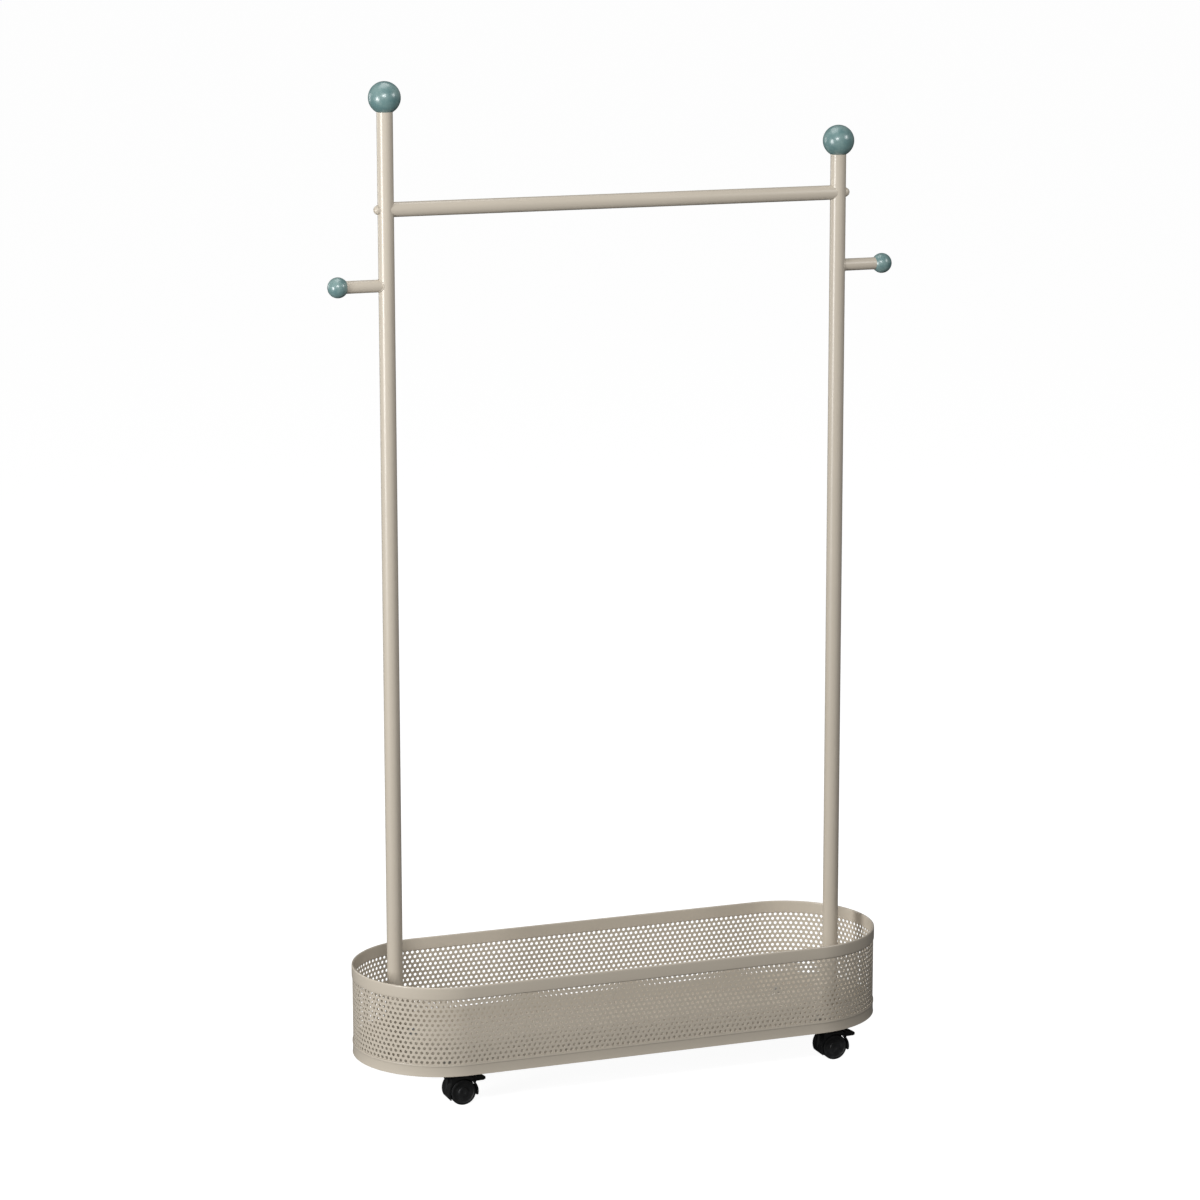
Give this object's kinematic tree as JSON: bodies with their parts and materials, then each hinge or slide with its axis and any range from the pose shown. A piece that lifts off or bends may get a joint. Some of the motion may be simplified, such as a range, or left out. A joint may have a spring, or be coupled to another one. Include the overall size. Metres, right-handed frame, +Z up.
{
  "type": "garment rack",
  "caption": "Freestanding garment rack: uneven ball-topped uprights, one hanging rail, side pegs and an oblong perforated basket base on braked casters.",
  "frame": {"origin": "on the floor, under the middle of the basket, at the bottom centre of the bounding box", "axes": "+X along the basket and the rail, from the tall upright to the short one; +Y to the rear; +Z up"},
  "size_m": [0.942, 0.286, 1.6],
  "materials": {
    "frame_paint": "warm grey powder coat, satin, fine texture",
    "ball_gloss": "muted blue-green lacquer, glossy, slightly mottled",
    "zinc_steel": "zinc-plated steel",
    "black_nylon": "black moulded nylon, semi-matt",
    "wheel_nylon": "black nylon tread and face, satin"
  },
  "bodies": {
    "root": {"floor_plate": "frame_paint", "lower_band_sides": "frame_paint", "lower_band_ends": "frame_paint", "wall_sides": "frame_paint", "wall_ends": "frame_paint", "rim_sides": "frame_paint", "rim_ends": "frame_paint", "left_upright": "frame_paint", "right_upright": "frame_paint", "foot_plugs": "zinc_steel", "foot_bolts": "zinc_steel", "foot_washers": "zinc_steel", "hanging_rail": "frame_paint", "rail_plugs": "zinc_steel", "rail_bolts": "frame_paint", "saddle_washers": "frame_paint", "left_peg": "frame_paint", "right_peg": "frame_paint", "peg_plugs": "zinc_steel", "peg_studs": "zinc_steel", "left_peg_ball": "ball_gloss", "right_peg_ball": "ball_gloss", "top_plugs": "zinc_steel", "top_studs": "zinc_steel", "left_top_ball": "ball_gloss", "right_top_ball": "ball_gloss", "stem_nuts": "zinc_steel", "stem_washers": "zinc_steel", "grip_rings": "zinc_steel", "front_left_stem": "zinc_steel", "front_right_stem": "zinc_steel", "rear_left_stem": "zinc_steel", "rear_right_stem": "zinc_steel"},
    "front_left_caster": {"front_left_hood": "black_nylon", "front_left_axle": "zinc_steel", "front_left_lever_pin": "black_nylon"},
    "front_left_outer_wheel": {"front_left_outer_wheel": "wheel_nylon"},
    "front_left_inner_wheel": {"front_left_inner_wheel": "wheel_nylon"},
    "front_left_brake_lever": {"front_left_brake_lever": "black_nylon"},
    "front_right_caster": {"front_right_hood": "black_nylon", "front_right_axle": "zinc_steel", "front_right_lever_pin": "black_nylon"},
    "front_right_outer_wheel": {"front_right_outer_wheel": "wheel_nylon"},
    "front_right_inner_wheel": {"front_right_inner_wheel": "wheel_nylon"},
    "front_right_brake_lever": {"front_right_brake_lever": "black_nylon"},
    "rear_left_caster": {"rear_left_hood": "black_nylon", "rear_left_axle": "zinc_steel", "rear_left_lever_pin": "black_nylon"},
    "rear_left_outer_wheel": {"rear_left_outer_wheel": "wheel_nylon"},
    "rear_left_inner_wheel": {"rear_left_inner_wheel": "wheel_nylon"},
    "rear_left_brake_lever": {"rear_left_brake_lever": "black_nylon"},
    "rear_right_caster": {"rear_right_hood": "black_nylon", "rear_right_axle": "zinc_steel", "rear_right_lever_pin": "black_nylon"},
    "rear_right_outer_wheel": {"rear_right_outer_wheel": "wheel_nylon"},
    "rear_right_inner_wheel": {"rear_right_inner_wheel": "wheel_nylon"},
    "rear_right_brake_lever": {"rear_right_brake_lever": "black_nylon"}
  },
  "joints": [
    {"name": "front_left_swivel", "type": "hinge", "parent": "root", "child": "front_left_caster", "pos_m": [-0.32, -0.09, 0.05], "axis": [0, 0, 1], "continuous": true},
    {"name": "front_left_outer_roll", "type": "hinge", "parent": "front_left_caster", "child": "front_left_outer_wheel", "pos_m": [-0.3, -0.09, 0.021], "axis": [0, 1, 0], "continuous": true},
    {"name": "front_left_inner_roll", "type": "hinge", "parent": "front_left_caster", "child": "front_left_inner_wheel", "pos_m": [-0.3, -0.09, 0.021], "axis": [0, 1, 0], "continuous": true},
    {"name": "front_left_brake", "type": "hinge", "parent": "front_left_caster", "child": "front_left_brake_lever", "pos_m": [-0.2785, -0.09, 0.0395], "axis": [0, 1, 0], "range_deg": [0, 18]},
    {"name": "front_right_swivel", "type": "hinge", "parent": "root", "child": "front_right_caster", "pos_m": [0.32, -0.09, 0.05], "axis": [0, 0, 1], "continuous": true},
    {"name": "front_right_outer_roll", "type": "hinge", "parent": "front_right_caster", "child": "front_right_outer_wheel", "pos_m": [0.34, -0.09, 0.021], "axis": [0, 1, 0], "continuous": true},
    {"name": "front_right_inner_roll", "type": "hinge", "parent": "front_right_caster", "child": "front_right_inner_wheel", "pos_m": [0.34, -0.09, 0.021], "axis": [0, 1, 0], "continuous": true},
    {"name": "front_right_brake", "type": "hinge", "parent": "front_right_caster", "child": "front_right_brake_lever", "pos_m": [0.3615, -0.09, 0.0395], "axis": [0, 1, 0], "range_deg": [0, 18]},
    {"name": "rear_left_swivel", "type": "hinge", "parent": "root", "child": "rear_left_caster", "pos_m": [-0.32, 0.09, 0.05], "axis": [0, 0, 1], "continuous": true},
    {"name": "rear_left_outer_roll", "type": "hinge", "parent": "rear_left_caster", "child": "rear_left_outer_wheel", "pos_m": [-0.3, 0.09, 0.021], "axis": [0, 1, 0], "continuous": true},
    {"name": "rear_left_inner_roll", "type": "hinge", "parent": "rear_left_caster", "child": "rear_left_inner_wheel", "pos_m": [-0.3, 0.09, 0.021], "axis": [0, 1, 0], "continuous": true},
    {"name": "rear_left_brake", "type": "hinge", "parent": "rear_left_caster", "child": "rear_left_brake_lever", "pos_m": [-0.2785, 0.09, 0.0395], "axis": [0, 1, 0], "range_deg": [0, 18]},
    {"name": "rear_right_swivel", "type": "hinge", "parent": "root", "child": "rear_right_caster", "pos_m": [0.32, 0.09, 0.05], "axis": [0, 0, 1], "continuous": true},
    {"name": "rear_right_outer_roll", "type": "hinge", "parent": "rear_right_caster", "child": "rear_right_outer_wheel", "pos_m": [0.34, 0.09, 0.021], "axis": [0, 1, 0], "continuous": true},
    {"name": "rear_right_inner_roll", "type": "hinge", "parent": "rear_right_caster", "child": "rear_right_inner_wheel", "pos_m": [0.34, 0.09, 0.021], "axis": [0, 1, 0], "continuous": true},
    {"name": "rear_right_brake", "type": "hinge", "parent": "rear_right_caster", "child": "rear_right_brake_lever", "pos_m": [0.3615, 0.09, 0.0395], "axis": [0, 1, 0], "range_deg": [0, 18]}
  ]
}
